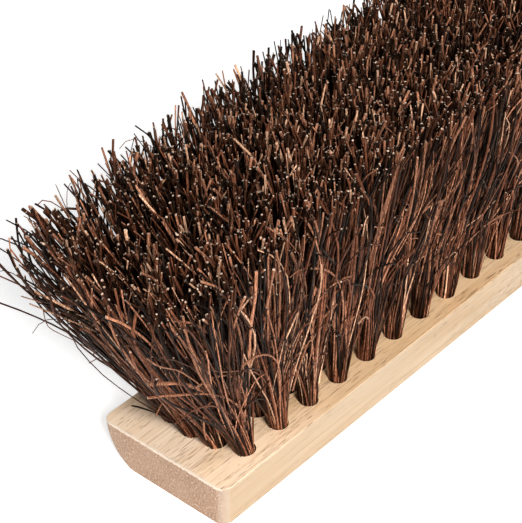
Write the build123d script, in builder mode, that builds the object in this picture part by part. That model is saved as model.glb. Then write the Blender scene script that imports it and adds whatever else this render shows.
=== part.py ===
"""Push broom head: a hardwood block with five rows of palmyra tufts, each held by a wire staple.

Millimetres. The head lies on its flat back with the bristles up: +X runs along the block, +Z up out of
the bristle face, and -Y is the square long side. The origin is the centre of the back at its lowest level.
"""

import math
import os

from build123d import *

# Block
BLOCK_LENGTH = 406.4  # 16 in
BLOCK_WIDTH = 76.2  # 3 in
BLOCK_THICKNESS = 22.2  # 7/8 in
SIDE_ROUND = 27.0  # arc of the +Y long side, which curves in towards the back
CORNER_RADIUS = 6.0  # the four corners seen from above
BACK_EASE = 1.5  # rounding of the edges of the back
BLANK_BELOW = 12.0  # extra depth of the blank, cut away once its corners are rounded
FACE_EASE = 0.5  # rounding of the edges of the bristle face

# Tuft holes: as many rows and columns as fit between the insets, centred on the block
ROW_PITCH = 13.05
COLUMN_PITCH = 21.7
ROW_INSET = 12.0  # least distance from a long side to the outer row
COLUMN_INSET = 29.6  # least distance from an end of the block to the line of the first column
END_BOW = 7.6  # how far the middle of the end column stands out towards the end
END_BOW_RADIUS = 58.0
HOLE_DIAMETER = 9.5
HOLE_FLOOR = 6.2  # wood left under a tuft hole

# Tufts
TRIM = 133.4  # bristle length above the block, 5-1/4 in
TUFT_CLEARANCE = 0.1  # tuft root to the wall of its hole
TUFT_COLLAR = 4.0  # straight part of the tuft above the face
TIP_GAP = 0.8  # between neighbouring tufts at the tips
TIP_ROUND = 4.0
SIDE_SPREAD = 18.5  # how far the field of tips reaches past the field of roots, at each long side
END_SPREAD = 54.0  # the same at each end of the block
END_SPREAD_POWER = 3  # how fast the lean fades from the ends to the middle
END_DROOP = 8.0  # how much lower the end tufts' tips are, because they lean

# Anchor staples
WIRE_DIAMETER = 1.2
STAPLE_WIDTH = 6.0  # between the centres of the legs
STAPLE_LENGTH = 8.0
STAPLE_BEND = 1.4
STAPLE_BITE = 3.6  # how far the legs go into the wood below the hole

# Handle holes, for a 3/4-5 broom thread
HANDLE_COLUMNS_FROM_MIDDLE = 1  # each handle hole stands this many column pitches from the middle
HANDLE_TILT = 30.0  # degrees from square to the back, towards one long side
HANDLE_MINOR_DIAMETER = 16.0
HANDLE_THREAD_DEPTH = 1.5
HANDLE_THREAD_PITCH = 5.08
HANDLE_GROOVE_MOUTH = 2.2  # width of the thread groove at the minor diameter
HANDLE_GROOVE_FLOOR = 1.2
HANDLE_WALL = 2.0  # least wood between a handle hole and a tuft hole



def how_many(length, inset, pitch):
    """How many holes a pitch apart fit in this length, with an inset at each end."""
    return 1 + math.floor((length - 2 * inset) / pitch + 1e-6)


rows = how_many(BLOCK_WIDTH, ROW_INSET, ROW_PITCH)
columns = how_many(BLOCK_LENGTH, COLUMN_INSET, COLUMN_PITCH)
first_row = -(rows - 1) / 2 * ROW_PITCH
first_column = -(columns - 1) / 2 * COLUMN_PITCH
tip_level = BLOCK_THICKNESS + TRIM
hole_depth = BLOCK_THICKNESS - HOLE_FLOOR


def spread_along(x):
    """Where the tips stand whose roots are x along the block."""
    return x + END_SPREAD * (x / -first_column) ** END_SPREAD_POWER


def spread_across(y):
    """Where the tips stand whose roots are y across the block."""
    return y + SIDE_SPREAD * y / (ROW_PITCH / 2 - first_row)


def end_bow(column, y):
    """How far a tuft of an end column stands out of that column's line."""
    sag = END_BOW_RADIUS - math.sqrt(END_BOW_RADIUS**2 - y**2)
    return {0: sag - END_BOW, columns - 1: END_BOW - sag}.get(column, 0.0)


class Tuft:
    """The places and the axis of one tuft, from its column and row."""

    def __init__(self, column, row):
        self.column, self.row = column, row
        self.line = Vector(first_column + column * COLUMN_PITCH, first_row + row * ROW_PITCH)
        self.bow = end_bow(column, self.line.Y)
        self.root = self.line + Vector(self.bow, 0, BLOCK_THICKNESS)
        self.axis = (self.tip_between(-0.5, 0.5)[0] - self.root).normalized()

    def tip_between(self, low, high):
        """The middle and the size of the tuft's field of tips, from low to high pitches along the block."""
        low_x, high_x = (spread_along(self.line.X + side * COLUMN_PITCH) for side in (low, high))
        low_y, high_y = (spread_across(self.line.Y + side * ROW_PITCH) for side in (-0.5, 0.5))
        droop = END_DROOP * abs(self.line.X / first_column) ** END_SPREAD_POWER
        middle = Vector((low_x + high_x) / 2 + self.bow, (low_y + high_y) / 2, tip_level - droop)
        return middle, (high_x - low_x - TIP_GAP, high_y - low_y - TIP_GAP)

    def plane(self, distance):
        """The plane square to the tuft, this far up its axis from the face of the block."""
        return Plane(self.root + self.axis * distance, x_dir=(1, 0, 0), z_dir=self.axis)

    def touches_handle(self):
        """True if the tuft's hole would break into a handle hole or its wall."""
        bottom = self.root - self.axis * hole_depth
        reach = (HOLE_DIAMETER + HANDLE_MINOR_DIAMETER) / 2 + HANDLE_THREAD_DEPTH + HANDLE_WALL
        for plane in handle_planes:
            for point in (self.root, bottom, (self.root + bottom) / 2):
                local = plane.to_local_coords(point)
                if math.hypot(local.X, local.Y) < reach:
                    return True
        return False


# Each handle hole's axis crosses the middle of the block's thickness and points the way the handle leaves,
# one towards each long side.
tilt = math.radians(HANDLE_TILT)
handle_planes = [
    Plane(
        (side * HANDLE_COLUMNS_FROM_MIDDLE * COLUMN_PITCH, 0, BLOCK_THICKNESS / 2),
        x_dir=(1, 0, 0),
        z_dir=(0, side * math.sin(tilt), -math.cos(tilt)),
    )
    for side in (-1, 1)
]

# A tuft that would touch a handle hole is left out, and the tips of its neighbours in the same row close the
# gap half way each.
every_tuft = [Tuft(column, row) for column in range(columns) for row in range(rows)]
left_out = {(tuft.column, tuft.row) for tuft in every_tuft if tuft.touches_handle()}
tufts = [tuft for tuft in every_tuft if (tuft.column, tuft.row) not in left_out]
for tuft in tufts:
    low, high = (1.0 if (tuft.column + side, tuft.row) in left_out else 0.5 for side in (-1, 1))
    tuft.tip, tuft.tip_size = tuft.tip_between(-low, high)


# One staple, its crown on the X axis and its legs down along -Z. The fibres fold round the crown.
with BuildPart() as staple:
    with BuildLine(Plane.XZ):
        FilletPolyline(
            (-STAPLE_WIDTH / 2, -STAPLE_LENGTH),
            (-STAPLE_WIDTH / 2, 0),
            (STAPLE_WIDTH / 2, 0),
            (STAPLE_WIDTH / 2, -STAPLE_LENGTH),
            radius=STAPLE_BEND,
        )
    with BuildSketch(Plane.XY.offset(-STAPLE_LENGTH)):
        with Locations((-STAPLE_WIDTH / 2, 0)):
            Circle(WIRE_DIAMETER / 2)
    sweep()

# Each crown is this far up the axis from the face, so that the legs bite into the wood.
crown_distance = STAPLE_LENGTH - STAPLE_BITE - hole_depth


def staple_places(some_tufts):
    return [tuft.plane(crown_distance).location for tuft in some_tufts]


# The tap that cuts a handle hole: a core with one long helical tooth, longer than the slanted hole by a turn
# or more at each end.
handle_span = BLOCK_THICKNESS / math.cos(tilt) + HANDLE_MINOR_DIAMETER * math.tan(tilt)
tooth_span = handle_span + 2 * HANDLE_THREAD_PITCH
tooth_root = HANDLE_MINOR_DIAMETER / 2 - HANDLE_THREAD_DEPTH / 3  # buried in the core
with BuildPart() as tap:
    Cylinder(HANDLE_MINOR_DIAMETER / 2, tooth_span + 2 * HANDLE_THREAD_PITCH)
    with BuildLine():
        turns = Helix(HANDLE_THREAD_PITCH, tooth_span, tooth_root, center=(0, 0, -tooth_span / 2))
    with BuildSketch(Plane(turns @ 0, x_dir=(1, 0, 0), z_dir=turns % 0)):
        depth = HANDLE_MINOR_DIAMETER / 2 + HANDLE_THREAD_DEPTH - tooth_root
        Polygon(
            (0, -HANDLE_GROOVE_MOUTH / 2),
            (depth, -HANDLE_GROOVE_FLOOR / 2),
            (depth, HANDLE_GROOVE_FLOOR / 2),
            (0, HANDLE_GROOVE_MOUTH / 2),
            align=None,
        )
    sweep(path=turns, is_frenet=True)

# The block. Its section runs on below the back while the corners are rounded, and is then cut off level.
inset = SIDE_ROUND - math.sqrt(SIDE_ROUND**2 - BLOCK_THICKNESS**2)
lean_in = BLOCK_THICKNESS / (SIDE_ROUND - inset)  # the tangent of the round side where it meets the back
with BuildPart() as block:
    with BuildSketch(Plane.YZ.offset(-BLOCK_LENGTH / 2)):
        with BuildLine():
            RadiusArc(
                (BLOCK_WIDTH / 2, BLOCK_THICKNESS),
                (BLOCK_WIDTH / 2 - inset, 0),
                SIDE_ROUND,
            )
            Polyline(
                (BLOCK_WIDTH / 2 - inset, 0),
                (BLOCK_WIDTH / 2 - inset - BLANK_BELOW * lean_in, -BLANK_BELOW),
                (-BLOCK_WIDTH / 2, -BLANK_BELOW),
                (-BLOCK_WIDTH / 2, BLOCK_THICKNESS),
                (BLOCK_WIDTH / 2, BLOCK_THICKNESS),
            )
        make_face()
    extrude(amount=BLOCK_LENGTH)
    end_edges = block.edges().filter_by(lambda edge: abs(edge.center().X) > BLOCK_LENGTH / 2 - 0.01)
    fillet(end_edges.filter_by(lambda edge: abs((edge @ 0).Z - (edge @ 1).Z) > 0.01), CORNER_RADIUS)
    split(bisect_by=Plane.XY, keep=Keep.TOP)
    fillet(block.faces().sort_by(Axis.Z)[-1].edges(), FACE_EASE)
    fillet(block.faces().sort_by(Axis.Z)[0].edges(), BACK_EASE)
    for tuft in tufts:
        with Locations(tuft.plane(0)):
            Cylinder(HOLE_DIAMETER / 2, 2 * hole_depth, mode=Mode.SUBTRACT)
    with Locations(*[plane.location for plane in handle_planes]):
        add(tap.part, mode=Mode.SUBTRACT)
    with Locations(*staple_places(tufts)):
        add(staple.part, mode=Mode.SUBTRACT)
block.part.label = "block"

os.makedirs("parts", exist_ok=True)
export_step(block.part, "parts/block.step")

# Tufts and staples, one node of each to a column. In a narrow block the handle holes can leave a column empty.
for number in sorted({tuft.column + 1 for tuft in tufts}):
    column = [tuft for tuft in tufts if tuft.column == number - 1]
    with BuildPart() as anchors:
        with Locations(*staple_places(column)):
            add(staple.part)
    anchors.part.label = f"anchors_{number:02d}"
    export_step(anchors.part, f"parts/{anchors.part.label}.step")

    with BuildPart() as bristles:
        for tuft in column:
            with BuildSketch(tuft.plane(-hole_depth)):
                Circle(HOLE_DIAMETER / 2 - TUFT_CLEARANCE)
            extrude(amount=hole_depth + TUFT_COLLAR)
            with BuildSketch(tuft.plane(TUFT_COLLAR)):
                Circle(HOLE_DIAMETER / 2 - TUFT_CLEARANCE)
            with BuildSketch(Plane(tuft.tip)):
                RectangleRounded(*tuft.tip_size, TIP_ROUND)
            loft()
        with Locations(*staple_places(column)):
            add(staple.part, mode=Mode.SUBTRACT)
    bristles.part.label = f"tufts_{number:02d}"
    export_step(bristles.part, f"parts/{bristles.part.label}.step")
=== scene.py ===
import math

import bmesh
import bpy
import numpy as np
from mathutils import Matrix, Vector


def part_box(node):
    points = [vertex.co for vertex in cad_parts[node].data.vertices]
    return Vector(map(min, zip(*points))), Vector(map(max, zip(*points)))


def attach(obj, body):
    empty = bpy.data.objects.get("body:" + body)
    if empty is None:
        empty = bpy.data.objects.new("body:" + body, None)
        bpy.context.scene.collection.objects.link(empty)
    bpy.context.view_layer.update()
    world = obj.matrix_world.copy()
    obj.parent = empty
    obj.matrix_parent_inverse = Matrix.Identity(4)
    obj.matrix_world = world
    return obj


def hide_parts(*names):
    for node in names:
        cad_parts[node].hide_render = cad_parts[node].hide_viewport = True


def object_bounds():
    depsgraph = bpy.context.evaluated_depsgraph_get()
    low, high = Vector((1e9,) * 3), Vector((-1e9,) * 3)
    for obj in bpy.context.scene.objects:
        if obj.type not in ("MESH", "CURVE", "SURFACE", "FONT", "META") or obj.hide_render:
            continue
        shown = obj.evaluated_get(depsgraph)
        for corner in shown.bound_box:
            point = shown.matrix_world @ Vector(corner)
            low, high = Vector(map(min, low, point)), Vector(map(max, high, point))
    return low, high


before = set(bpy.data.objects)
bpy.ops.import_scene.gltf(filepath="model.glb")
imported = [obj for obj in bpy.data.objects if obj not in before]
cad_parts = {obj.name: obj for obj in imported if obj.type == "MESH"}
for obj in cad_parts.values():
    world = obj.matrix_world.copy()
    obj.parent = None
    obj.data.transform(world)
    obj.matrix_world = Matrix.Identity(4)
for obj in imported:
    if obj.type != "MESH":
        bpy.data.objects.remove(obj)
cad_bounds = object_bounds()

# Looks for a push broom head that lies on its flat back, bristles up. Metres, in the row frame:
# +X along the block, +Z out of the bristle face, -Y the square long side.

MM = 0.001
rng = np.random.default_rng(631)

block_low, block_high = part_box("block")
FACE = block_high.z  # level of the bristle face
HALF_LENGTH = block_high.x
HALF_WIDTH = -block_low.y

# Camera
CAMERA_AT = Vector((-0.63925, -0.43158, 0.58712))
CAMERA_AZIMUTH = math.radians(-49.07)
CAMERA_ELEVATION = math.radians(36.65)
CAMERA_LENS = 126.15
CAMERA_SHIFT = (0.0201, -0.0015)

# Fibres
FIBRES = 106  # to a tuft, and up to MOST_MORE times as many where its tips cover more than the usual field
MOST_MORE = 1.4
STRAYS = 24  # to a tuft at a long side
END_STRAYS = 2  # to a tuft at an end
WISP = 10  # strands that sweep round an end
RADIUS = 0.34 * MM  # of a usual fibre
STRAY_RADIUS = 0.27 * MM
THINNEST, THICKEST = 0.16 * MM, 0.52 * MM
SIDES = 6
RINGS = 13  # above the face
IN_HOLE = 14 * MM
HOLE_RADIUS = 4.4 * MM
BUSH = 0.09  # how much a fibre at the wall of its hole turns outwards as it leaves
WIDE_SHARE = 0.38  # of a tuft's fibres end far among the tips of its neighbours
WIDE = (16 * MM, 9 * MM)  # their scatter along and across the block
NARROW = (4 * MM, 3.2 * MM)  # the scatter of the others
TALL_SHARE = 0.12  # of a tuft's fibres stand a little above the trim
DRAWN_IN = 18 * MM  # how far the tips stay inside their CAD place, for each unit of the tuft's lean along X
HALF_TIPS = np.array(cad_bounds[1][:2])
TOP = cad_bounds[1][2]
PROUD = 6 * MM  # how far loose fibres may stand outside the CAD box
UP = np.array((0, 0, 1.0))
CLUMPS = rng.uniform(-1, 1, (2600, 2)) * HALF_TIPS  # places that tips gather at


# --- Materials -------------------------------------------------------------------------------------------


class Nodes:
    """A material's node tree, built one node at a time."""

    def __init__(self, name):
        self.material = bpy.data.materials.new(name)
        self.material.use_nodes = True
        self.tree = self.material.node_tree
        self.shader = self.tree.nodes["Principled BSDF"]

    def add(self, kind, inputs=None, **settings):
        node = self.tree.nodes.new(kind)
        for key, value in settings.items():
            setattr(node, key, value)
        for key, value in (inputs or {}).items():
            if isinstance(value, bpy.types.NodeSocket):
                self.tree.links.new(value, node.inputs[key])
            else:
                node.inputs[key].default_value = value
        return node

    def link(self, socket, name):
        self.tree.links.new(socket, self.shader.inputs[name])

    def noise(self, vector, scale, detail=3.0, roughness=0.5, distortion=0.0):
        inputs = {"Vector": vector, "Scale": scale, "Detail": detail, "Roughness": roughness,
                  "Distortion": distortion}
        return self.add("ShaderNodeTexNoise", inputs).outputs["Fac"]

    def stretched(self, vector, scale):
        node = self.add("ShaderNodeMapping", {"Vector": vector, "Scale": scale})
        return node.outputs["Vector"]

    def ramp(self, value, *stops):
        """A colour ramp with stops (position, colour)."""
        node = self.add("ShaderNodeValToRGB", {"Fac": value})
        elements = node.color_ramp.elements
        while len(elements) < len(stops):
            elements.new(0.5)
        for element, (position, colour) in zip(elements, stops):
            element.position = position
            element.color = (*colour, 1)
        return node.outputs["Color"]

    def step(self, value, low, high, to=(0.0, 1.0)):
        inputs = {"Value": value, "From Min": low, "From Max": high, "To Min": to[0], "To Max": to[1]}
        return self.add("ShaderNodeMapRange", inputs, interpolation_type="SMOOTHSTEP").outputs["Result"]

    def maths(self, operation, a, b=0.0):
        node = self.add("ShaderNodeMath", {0: a, 1: b}, operation=operation)
        return node.outputs[0]

    def mix(self, share, a, b, blend="MIX"):
        node = self.add("ShaderNodeMix", data_type="RGBA", blend_type=blend)
        for index, value in ((0, share), (6, a), (7, b)):
            if isinstance(value, bpy.types.NodeSocket):
                self.tree.links.new(value, node.inputs[index])
            else:
                node.inputs[index].default_value = value if index == 0 else (*value, 1)
        return node.outputs[2]

    def bump(self, height, distance, strength=1.0, normal=None):
        inputs = {"Height": height, "Distance": distance, "Strength": strength}
        if normal is not None:
            inputs["Normal"] = normal
        return self.add("ShaderNodeBump", inputs).outputs["Normal"]


def wood():
    """Pale planed hardwood, grain along X: honey bands, fine lines, open pores and speckled end grain."""
    n = Nodes("wood")
    coords = n.add("ShaderNodeTexCoord")
    place = coords.outputs["Object"]
    xyz = n.add("ShaderNodeSeparateXYZ", {"Vector": place})
    normal = n.add("ShaderNodeSeparateXYZ", {"Vector": coords.outputs["Normal"]})
    end = n.step(n.maths("ABSOLUTE", normal.outputs["X"]), 0.55, 0.9)
    top = n.step(normal.outputs["Z"], 0.4, 0.9)

    # Soft bands of early and late wood that drift slowly along the grain, and paler patches.
    bands = n.noise(n.stretched(place, (4, 130, 130)), 1.0, 4.0, 0.55, 0.6)
    body = n.ramp(bands, (0.28, (0.72, 0.49, 0.29)), (0.46, (0.83, 0.60, 0.40)),
                  (0.62, (0.89, 0.68, 0.49)), (0.8, (0.80, 0.56, 0.36)))
    patches = n.noise(n.stretched(place, (14, 40, 40)), 1.0, 2.0)
    body = n.mix(n.step(patches, 0.38, 0.7, (0.0, 0.5)), body, (0.87, 0.71, 0.55))

    # Fine lines of grain, broken along their length, which the planed side hardly shows.
    lines = n.noise(n.stretched(place, (16, 950, 950)), 1.0, 4.0, 0.65)
    line_share = n.maths("MULTIPLY", n.step(lines, 0.50, 0.70), n.step(top, 0.0, 1.0, (0.28, 0.62)))
    body = n.mix(line_share, body, (0.46, 0.275, 0.135))

    # Open pores: short brown dashes in clusters, and a few dark pin specks.
    dashes = n.noise(n.stretched(place, (120, 2600, 2600)), 1.0, 2.0, 0.5)
    clusters = n.noise(n.stretched(place, (9, 90, 90)), 1.0, 2.0)
    pores = n.step(n.maths("ADD", dashes, n.maths("MULTIPLY", clusters, 0.25)), 0.74, 0.82)
    pore_share = n.maths("MULTIPLY", pores, n.step(top, 0.0, 1.0, (0.3, 0.75)))
    body = n.mix(pore_share, body, (0.27, 0.145, 0.07))
    specks = n.step(n.noise(place, 420.0, 1.0), 0.80, 0.84, (0.0, 0.7))
    body = n.mix(specks, body, (0.10, 0.05, 0.03))
    # Painted shade: every face but the bristle face is darkened to under half its colour, to hold down the
    # strong light on the long side.
    body = n.mix(n.step(top, 0.0, 1.0, (1.0, 0.0)), body, (0.455, 0.45, 0.42), "MULTIPLY")

    # The face is darker and more honey coloured away from its ends: partly the wood's tone, partly painted
    # shade and brown reflected light from the bristles above it.
    from_end = n.maths("SUBTRACT", HALF_LENGTH, n.maths("ABSOLUTE", xyz.outputs["X"]))
    honey_and_shade = n.maths("MULTIPLY", n.step(from_end, 15 * MM, 100 * MM), top)
    body = n.mix(honey_and_shade, body, n.mix(1.0, body, (0.76, 0.67, 0.54), "MULTIPLY"))

    # End grain: darker and pinker, with pale dots and dark ones.
    cells = n.noise(n.stretched(place, (300, 1150, 800)), 1.0, 3.0, 0.6)
    cloud = n.noise(place, 60.0, 2.0)
    grain = n.ramp(cells, (0.34, (0.20, 0.11, 0.066)), (0.46, (0.325, 0.20, 0.126)),
                   (0.58, (0.365, 0.232, 0.15)), (0.68, (0.66, 0.51, 0.39)))
    grain = n.mix(n.step(cloud, 0.35, 0.65, (0.0, 0.3)), grain, (0.42, 0.283, 0.196))
    colour = n.mix(end, body, grain)

    # Sanded corners between the ends and the sides are paler.
    corner = n.maths("ABSOLUTE", n.maths("MULTIPLY", normal.outputs["X"], normal.outputs["Y"]))
    colour = n.mix(n.step(corner, 0.15, 0.42, (0.0, 0.5)), colour, (0.40, 0.315, 0.255))

    # Pale furred edge where the end meets the bristle face.
    from_face = n.maths("SUBTRACT", FACE, xyz.outputs["Z"])
    rag = n.maths("MULTIPLY", n.noise(place, 700.0, 3.0), 2.4 * MM)
    edge_x = n.step(n.maths("ADD", from_end, rag), 2.0 * MM, 2.6 * MM, (1.0, 0.0))
    edge_z = n.step(n.maths("ADD", from_face, rag), 1.6 * MM, 2.4 * MM, (1.0, 0.0))
    colour = n.mix(n.maths("MULTIPLY", n.maths("MULTIPLY", edge_x, edge_z), 0.75), colour, (0.82, 0.70, 0.57))

    n.link(colour, "Base Color")
    n.link(n.step(lines, 0.3, 0.7, (0.5, 0.68)), "Roughness")
    n.shader.inputs["Specular IOR Level"].default_value = 0.3
    relief = n.maths("SUBTRACT", n.maths("MULTIPLY", lines, 0.35), pores)
    n.link(n.bump(relief, 0.00015), "Normal")
    return n.material


def palmyra():
    """Stiff palmyra stem: its colour and painted light and shade from the mesh, lighter at the root and
    darker towards the tip, with streaks along it.
    """
    n = Nodes("palmyra")
    place = n.add("ShaderNodeTexCoord").outputs["Object"]
    stem_tone_and_shade = n.add("ShaderNodeAttribute", attribute_name="fibre").outputs["Color"]
    streaks = n.noise(n.stretched(place, (2600, 2600, 90)), 1.0, 3.0, 0.6)
    dark = n.mix(1.0, stem_tone_and_shade, (0.35, 0.30, 0.30), "MULTIPLY")
    light = n.mix(1.0, stem_tone_and_shade, (1.9, 1.75, 1.65), "MULTIPLY")
    n.link(n.mix(n.step(streaks, 0.35, 0.68), dark, light), "Base Color")
    n.link(n.step(streaks, 0.3, 0.7, (0.62, 0.45)), "Roughness")
    n.shader.inputs["Specular IOR Level"].default_value = 0.12
    n.shader.inputs["Specular Tint"].default_value = (1.0, 0.62, 0.42, 1.0)
    n.link(n.bump(streaks, 0.00015), "Normal")
    return n.material


def cut_ends():
    """The paler pith of a cut palmyra stem, weathered on most to the stem's brown, which is painted darker at
    the tip.
    """
    n = Nodes("palmyra_cut")
    place = n.add("ShaderNodeTexCoord").outputs["Object"]
    stem_tone_and_shade = n.add("ShaderNodeAttribute", attribute_name="fibre").outputs["Color"]
    speck = n.noise(place, 2200.0, 2.0)
    pith = n.mix(n.step(speck, 0.35, 0.65), (0.26, 0.15, 0.10), (0.80, 0.62, 0.48))
    patch = n.noise(place, 260.0, 1.0)
    n.link(n.mix(n.step(patch, 0.4, 0.6, (0.15, 0.9)), pith, stem_tone_and_shade), "Base Color")
    n.shader.inputs["Roughness"].default_value = 0.7
    n.shader.inputs["Specular IOR Level"].default_value = 0.3
    n.link(n.bump(speck, 0.0001), "Normal")
    return n.material


def wire():
    """Bright drawn steel wire with faint drawing lines and dull patches."""
    n = Nodes("steel_wire")
    place = n.add("ShaderNodeTexCoord").outputs["Object"]
    patches = n.noise(place, 500.0, 3.0)
    n.link(n.ramp(patches, (0.3, (0.42, 0.42, 0.43)), (0.7, (0.62, 0.62, 0.61))), "Base Color")
    n.link(n.step(patches, 0.3, 0.7, (0.45, 0.25)), "Roughness")
    n.shader.inputs["Metallic"].default_value = 1.0
    n.link(n.bump(n.noise(place, 4000.0, 2.0), 0.00002), "Normal")
    return n.material


def pale_floor():
    n = Nodes("floor")
    place = n.add("ShaderNodeTexCoord").outputs["Object"]
    cloud = n.noise(place, 1.5, 2.0)
    n.link(n.ramp(cloud, (0.3, (0.93, 0.93, 0.93)), (0.7, (0.95, 0.95, 0.95))), "Base Color")
    n.shader.inputs["Roughness"].default_value = 0.8
    n.shader.inputs["Specular IOR Level"].default_value = 0.1
    n.shader.inputs["Emission Strength"].default_value = 0.65
    return n.material


# --- Tufts, read from their CAD solids -------------------------------------------------------------------


def islands(node):
    """The corner points of each separate solid of a CAD node."""
    mesh = bmesh.new()
    mesh.from_mesh(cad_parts[node].data)
    bmesh.ops.remove_doubles(mesh, verts=mesh.verts, dist=1e-6)
    found, seen = [], set()
    for start in mesh.verts:
        if start in seen:
            continue
        seen.add(start)
        group, queue = [], [start]
        while queue:
            vert = queue.pop()
            group.append(tuple(vert.co))
            for edge in vert.link_edges:
                other = edge.other_vert(vert)
                if other not in seen:
                    seen.add(other)
                    queue.append(other)
        found.append(np.array(group))
    mesh.free()
    return found


def middle(points):
    return (points.min(0) + points.max(0)) / 2


class Tuft:
    """One tuft's root on the face, its axis, and the middle and half sizes of its field of tips."""

    def __init__(self, node, points):
        self.node = node
        height = points[:, 2]
        bottom = middle(points[height < height.min() + 5.5 * MM])
        collar = middle(points[(height > FACE + 0.3 * MM) & (height < FACE + 8 * MM)])
        self.axis = unit(collar - bottom)
        self.root = bottom + self.axis * (FACE - bottom[2]) / self.axis[2]
        tips = points[height > height.max() - 0.1 * MM]
        self.tip = middle(tips)
        self.half = (tips.max(0) - tips.min(0))[:2] / 2


# --- Fibres ----------------------------------------------------------------------------------------------

# Palmyra stem colours, darkest first, each with its share.
STEM_COLOURS = np.array([
    (0.003, 0.0015, 0.0009), (0.008, 0.0055, 0.005), (0.021, 0.0076, 0.0038), (0.090, 0.034, 0.018),
    (0.220, 0.103, 0.060), (0.390, 0.240, 0.155)])
STEM_SHARES = (0.28, 0.05, 0.20, 0.26, 0.16, 0.05)
STRAY_SHARES = (0.20, 0.08, 0.22, 0.26, 0.18, 0.06)


def unit(vectors):
    return vectors / np.linalg.norm(vectors, axis=-1, keepdims=True)


def bezier(points, count):
    """Points along many cubic curves at once: points is (4, curves, 3), the result (curves, count, 3)."""
    t = np.linspace(0, 1, count)[None, :, None]
    a, b, c, d = (p[:, None, :] for p in points)
    return a * (1 - t) ** 3 + 3 * b * t * (1 - t) ** 2 + 3 * c * t**2 * (1 - t) + d * t**3


def stem_colours(count, shares):
    picks = rng.choice(len(STEM_COLOURS), count, p=shares)
    return STEM_COLOURS[picks] * np.exp(rng.normal(0, 0.25, (count, 1)))


def stem_radii(count, usual):
    return np.clip(np.exp(rng.normal(math.log(usual), 0.38, count)), THINNEST, THICKEST)


def kept_in(points):
    """Curve points moved to where loose fibres may be: a little outside the CAD box at most."""
    reach = np.array([HALF_TIPS[0] + PROUD, HALF_TIPS[1] + PROUD, TOP + PROUD])
    return np.clip(points, -reach, reach)


def crooked(lines, amount):
    """The same lines with slow random bends that grow from the root."""
    count, rings = lines.shape[:2]
    along = np.linspace(0, 1, rings)[None, :, None]
    for waves in (1.0, 2.3, 4.1):
        push = rng.normal(0, amount / waves, (count, 1, 3))
        lines = lines + push * along * np.sin(math.tau * (waves * along + rng.random((count, 1, 1))))
    return lines


def hole_places(tuft, disc):
    """Places on the face in the tuft's hole, from places in a unit disc, and the ways out from its middle."""
    across = unit(np.cross(tuft.axis, (1, 0, 0)))
    along = np.cross(across, tuft.axis)
    out = disc[:, :1] * along - disc[:, 1:] * across
    return tuft.root + HOLE_RADIUS * out, out


def grown(tuft, start, low, high, tip, bends):
    """Lines that run straight up the hole and then along cubic curves to their tips."""
    above = bezier([kept_in(points) for points in (start, low, high, tip)], RINGS)
    below = start - tuft.axis * IN_HOLE
    return np.concatenate([below[:, None, :], crooked(above, bends)], 1)


def tuft_fibres(tuft, count):
    """One tuft's fibres, bushing out of its hole to the trimmed field of tips."""
    index = np.arange(count)
    angle = index * math.pi * (3 - math.sqrt(5)) + rng.uniform(0, math.tau)
    reach = np.sqrt((index + 0.5) / count)
    disc = np.stack([reach * np.cos(angle), reach * np.sin(angle)], 1)
    start, out = hole_places(tuft, disc)

    # The disc stretches to fill the tuft's cell of the field, and neighbours mix.
    square = disc * (reach / np.abs(disc).max(1))[:, None]
    tip = np.tile(tuft.tip, (count, 1))
    wide = rng.random(count) < WIDE_SHARE
    scatter = np.where(wide[:, None], WIDE, NARROW)
    tip[:, :2] += square * tuft.half + np.clip(rng.normal(0, 1, (count, 2)), -2.4, 2.4) * scatter
    tip[:, 2] += (rng.normal(0, 1.8, count) - rng.exponential(3.5, count)) * MM
    tip[:, 0] -= tuft.axis[0] * DRAWN_IN
    tall = rng.random(count) < TALL_SHARE
    tip[tall, 2] += rng.uniform(2, 6, tall.sum()) * MM
    tip = gathered(tip)
    tip[:, :2] = np.clip(tip[:, :2], -HALF_TIPS - 4 * MM, HALF_TIPS + 4 * MM)

    # The more a tuft leans, the more of its fibres are cut short.
    short = rng.random(count) < 0.06 + 0.4 * abs(tuft.axis[0])
    tip[short] -= (tip - start)[short] * rng.uniform(0.05, 0.32, (short.sum(), 1))

    chord = tip - start
    length = np.linalg.norm(chord, axis=1, keepdims=True)
    leave = unit(0.5 * tuft.axis + 0.3 * unit(chord) + 0.2 * UP + BUSH * out
                 + rng.normal(0, 0.03, (count, 3)))
    arrive = unit(unit(chord) + rng.normal(0, 0.26, (count, 3)))
    low = start + leave * length * rng.uniform(0.22, 0.42, (count, 1))
    high = tip - arrive * length * rng.uniform(0.2, 0.4, (count, 1))
    return grown(tuft, start, low, high, tip, 0.45 * MM)


def gathered(tips):
    """Tips drawn a little towards the nearest of many random places, so that they stand in clumps."""
    gap = np.linalg.norm(tips[:, None, :2] - CLUMPS[None], axis=2)
    nearest = CLUMPS[gap.argmin(1)]
    tips[:, :2] += (nearest - tips[:, :2]) * rng.uniform(0.0, 0.6, (len(tips), 1))
    return tips


def stray_fibres(tuft, outward, count, lowest, sideways):
    """Loose fibres that bow out of the wall of bristles on one side and bend over sideways."""
    angle = rng.uniform(-1.3, 1.3, count) + math.atan2(outward[1], outward[0])
    start, _ = hole_places(tuft, np.stack([np.cos(angle), np.sin(angle)], 1) * 0.9)
    out = np.array((*outward, 0.0))
    aside = np.cross(UP, out)
    height = rng.uniform(lowest, 125 * MM, (count, 1))
    run = rng.uniform(-1.3, 1.3, (count, 1)) * sideways
    wall = tuft.tip + np.abs(outward) @ tuft.half * out - tuft.root
    tip = start + wall * height / wall[2] + out * rng.uniform(0, 9, (count, 1)) * MM + aside * run
    tip[:, 2] = FACE + height[:, 0]
    low = start + tuft.axis * rng.uniform(0.5, 1.05, (count, 1)) * height
    low = low + out * rng.uniform(0, 6, (count, 1)) * MM
    high = tip - aside * run * rng.uniform(0.25, 0.6, (count, 1))
    high = high + UP * rng.uniform(-0.2, 0.2, (count, 1)) * height
    return grown(tuft, start, low, high, tip, 0.6 * MM)


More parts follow.
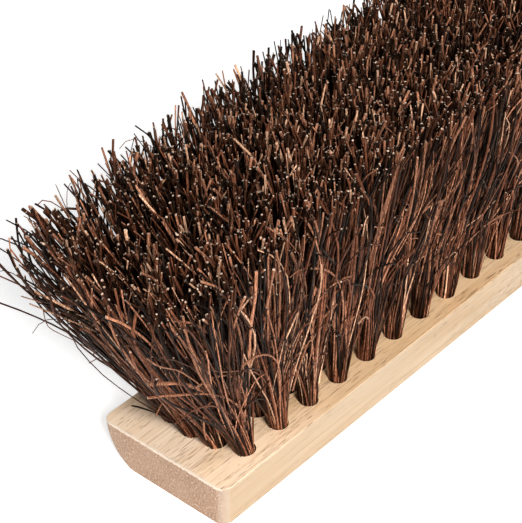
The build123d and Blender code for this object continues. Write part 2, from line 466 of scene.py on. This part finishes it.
def wisp(tuft, count):
    """Strands that sweep round the end of the brush, nearly level, from a corner tuft."""
    start, _ = hole_places(tuft, rng.uniform(-0.6, 0.6, (count, 2)))
    way = np.array((np.sign(tuft.root[0]), -np.sign(tuft.root[1]), 1)) * MM
    low = tuft.root + rng.normal((6, 0, 36), (2, 2, 4), (count, 3)) * way
    high = tuft.root + rng.normal((34, 14, 74), (4, 3, 4), (count, 3)) * way
    tip = tuft.root + rng.normal((70, 52, 104), (7, 8, 6), (count, 3)) * way
    return grown(tuft, start, low, high, tip, 0.7 * MM)


def loose_loop(tuft, points):
    """One stray along three given curve points, in millimetres from the tuft's root."""
    low, high, tip = (tuft.root + np.array([point]) * MM for point in points)
    start, _ = hole_places(tuft, np.array([(0.75 * np.sign(points[0][0]), -0.5)]))
    return grown(tuft, start, low, high, tip, 0.3 * MM)


def fibre_piece(name, lines, radii, colours, materials):
    """One mesh of many stems: flattened tubes round the centre lines, closed at both ends."""
    count, rings = lines.shape[:2]
    tangent = unit(np.gradient(lines, axis=1))
    heading = rng.uniform(0, math.tau, count)
    aside = np.stack([np.cos(heading), np.sin(heading), np.zeros(count)], 1)[:, None, :]
    wide = unit(aside - (aside * tangent).sum(-1, keepdims=True) * tangent)
    thin = np.cross(tangent, wide)
    flat = rng.uniform(0.5, 1.0, count)[:, None, None]
    taper = np.linspace(0.9, 1.12, rings)[None, :] * (1 + rng.normal(0, 0.07, (count, rings)))
    radius = (radii[:, None] * taper)[..., None]
    corners = [
        lines + radius * (math.cos(a) * wide / np.sqrt(flat) + math.sin(a) * thin * np.sqrt(flat))
        for a in np.arange(SIDES) * math.tau / SIDES
    ]
    verts = np.stack(corners, 2).reshape(-1, 3)

    ring = (np.arange(count)[:, None] * rings + np.arange(rings)[None, :]) * SIDES
    side = np.arange(SIDES)
    after = (side + 1) % SIDES
    low, high = ring[:, :-1, None], ring[:, 1:, None]
    walls = np.stack([low + side, low + after, high + after, high + side], -1).reshape(-1, 4)
    cap = np.array([(0, 1, 2, 3), (0, 3, 4, 5)])
    tips = (ring[:, -1, None, None] + cap).reshape(-1, 4)
    roots = (ring[:, 0, None, None] + cap[:, ::-1]).reshape(-1, 4)
    faces = np.concatenate([walls, tips, roots])

    mesh = bpy.data.meshes.new(name)
    mesh.from_pydata(verts, [], faces)
    for material in materials:
        mesh.materials.append(material)
    slot = np.zeros(len(faces), np.int32)
    slot[len(walls):len(walls) + len(tips)] = 1
    mesh.polygons.foreach_set("material_index", slot)
    mesh.polygons.foreach_set("use_smooth", slot == 0)
    # Painted light and shade: each stem is painted lighter at its root and darker towards its tips, for the
    # brighter lower wall of bristles and the dark gaps among the tips.
    painted_light_along = np.linspace(1.35, 0.85, rings)  # darker towards the tips
    shade = np.repeat((colours[:, None, :] * painted_light_along[None, :, None]).reshape(-1, 3), SIDES, axis=0)
    colour = mesh.color_attributes.new("fibre", "FLOAT_COLOR", "POINT")
    colour.data.foreach_set("color", np.concatenate([shade, np.ones((len(shade), 1))], 1).ravel())
    mesh.update()
    piece = bpy.data.objects.new(name, mesh)
    bpy.context.scene.collection.objects.link(piece)
    return piece


# Strays that stand out at the first tufts of the square side: column and row of the tuft, tone, radius and
# three curve points from its root, in millimetres.
LOOPS = (
    (0, 0, 4, 0.50, ((-4, -16, 46), (-34, -12, 66), (-61, 0, 71))),
    (0, 1, 4, 0.42, ((-23, -13, 33), (-27, -15, 49), (-21, -19, 50))),
    (0, 2, 0, 0.45, ((-8, -2, 10), (-21, 2, 26), (-34, 5, 35))),
    (0, 2, 4, 0.32, ((-14, -13, 46), (-28, -13, 55), (-36, -12, 41))),
    (0, 0, 4, 0.45, ((-11, -14, 43), (-17, -15, 77), (-14, -16, 109))),
    (0, 0, 4, 0.48, ((-20, -13, 34), (-42, -13, 80), (-58, -12, 115))),
    (0, 0, 4, 0.38, ((-8, -16, 62), (-28, -15, 76), (-42, -11, 71))),
    (0, 0, 4, 0.90, ((-21, -11, 59), (-46, -6, 74), (-61, -1, 79))),
    (1, 0, 4, 0.40, ((-5, -14, 49), (-25, -16, 75), (-47, -18, 73))),
    (1, 0, 4, 0.35, ((-6, -12, 58), (4, -17, 88), (26, -19, 80))),
    (2, 0, 4, 0.42, ((-5, -14, 69), (-19, -16, 109), (-55, -9, 101))),
    (2, 0, 4, 0.35, ((-10, -11, 47), (-19, -20, 79), (-39, -22, 43))),
    (3, 0, 4, 0.40, ((-5, -12, 57), (-23, -18, 89), (-47, -20, 101))),
    (4, 0, 4, 0.50, ((-5, -12, 67), (1, -20, 95), (29, -20, 85))),
)


def fill_block():
    """One piece of loose fibres for each column of tufts."""
    nodes = sorted(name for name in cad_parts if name.startswith("tufts_"))
    tufts = [Tuft(node, points) for node in nodes for points in islands(node)]
    usual_cell = np.median([tuft.half.prod() for tuft in tufts])
    outer_row = max(tuft.root[1] for tuft in tufts) - 1 * MM
    materials = (palmyra(), cut_ends())
    for number, node in enumerate(nodes):
        column = sorted((tuft for tuft in tufts if tuft.node == node), key=lambda tuft: tuft.root[1])
        bodies, strays = [], []
        for tuft in column:
            more = np.clip(tuft.half.prod() / usual_cell, 1.0, MOST_MORE)
            bodies.append(tuft_fibres(tuft, round(FIBRES * more)))
            if abs(tuft.root[1]) > outer_row:
                strays.append(stray_fibres(tuft, (0, np.sign(tuft.root[1])), STRAYS, 35 * MM, 32 * MM))
            if node in (nodes[0], nodes[-1]):
                strays.append(stray_fibres(tuft, (np.sign(tuft.root[0]), 0), END_STRAYS, 85 * MM, 14 * MM))
        if node in (nodes[0], nodes[-1]):
            bodies.append(wisp(column[0], WISP))
        hand_set = [loop for loop in LOOPS if loop[0] == number]
        loops = [loose_loop(column[row], points) for _, row, _, _, points in hand_set]
        bodies = np.concatenate(bodies)
        strays = np.concatenate(strays)
        lines = np.concatenate([bodies, strays, *loops])
        radii = np.concatenate([stem_radii(len(bodies), RADIUS), stem_radii(len(strays), STRAY_RADIUS),
                                [loop[3] * MM for loop in hand_set]])
        colours = np.concatenate([stem_colours(len(bodies), STEM_SHARES),
                                  stem_colours(len(strays), STRAY_SHARES),
                                  *(STEM_COLOURS[loop[2]][None] for loop in hand_set)])
        piece = fibre_piece(node.replace("tufts", "fibres"), lines, radii, colours, materials)
        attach(piece, "root")
        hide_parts(node)


# --- Camera, light and floor -----------------------------------------------------------------------------


def camera():
    data = bpy.data.cameras.new("camera")
    data.lens = CAMERA_LENS
    data.shift_x, data.shift_y = CAMERA_SHIFT
    view = bpy.data.objects.new("camera", data)
    view.location = CAMERA_AT
    level = math.cos(CAMERA_ELEVATION)
    towards = Vector((-math.sin(CAMERA_AZIMUTH) * level, math.cos(CAMERA_AZIMUTH) * level,
                      -math.sin(CAMERA_ELEVATION)))
    view.rotation_euler = towards.to_track_quat("-Z", "Y").to_euler()
    bpy.context.scene.collection.objects.link(view)
    bpy.context.scene.camera = view


def area_light(name, place, size, power, colour):
    data = bpy.data.lights.new(name, "AREA")
    data.shape, data.size = "DISK", size
    data.energy, data.color = power, colour
    light = bpy.data.objects.new(name, data)
    light.location = place
    light.rotation_euler = (-Vector(place)).to_track_quat("-Z", "Y").to_euler()
    bpy.context.scene.collection.objects.link(light)


def studio():
    area_light("key", (-0.95, -1.25, 1.2), 0.5, 54, (1.0, 0.985, 0.97))
    area_light("side", (0.9, -1.3, 1.0), 0.8, 12, (1.0, 0.99, 0.97))
    area_light("top", (0.2, 0.4, 2.0), 1.0, 3, (1.0, 1.0, 1.0))
    world = bpy.data.worlds.new("studio")
    world.use_nodes = True
    world.node_tree.nodes["Background"].inputs["Color"].default_value = (1, 1, 1, 1)
    world.node_tree.nodes["Background"].inputs["Strength"].default_value = 0.1
    bpy.context.scene.world = world
    bpy.context.scene.view_settings.view_transform = "Standard"

    mesh = bpy.data.meshes.new("floor")
    reach = 6.0
    mesh.from_pydata([(-reach, -reach, 0), (reach, -reach, 0), (reach, reach, 0), (-reach, reach, 0)], [],
                     [(0, 1, 2, 3)])
    mesh.materials.append(pale_floor())
    floor = bpy.data.objects.new("floor", mesh)
    bpy.context.scene.collection.objects.link(floor)


def finish_node(node, material):
    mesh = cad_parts[node].data
    mesh.materials.clear()
    mesh.materials.append(material)


camera()
studio()
finish_node("block", wood())
steel = wire()
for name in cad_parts:
    if name.startswith("anchors_"):
        finish_node(name, steel)
fill_block()
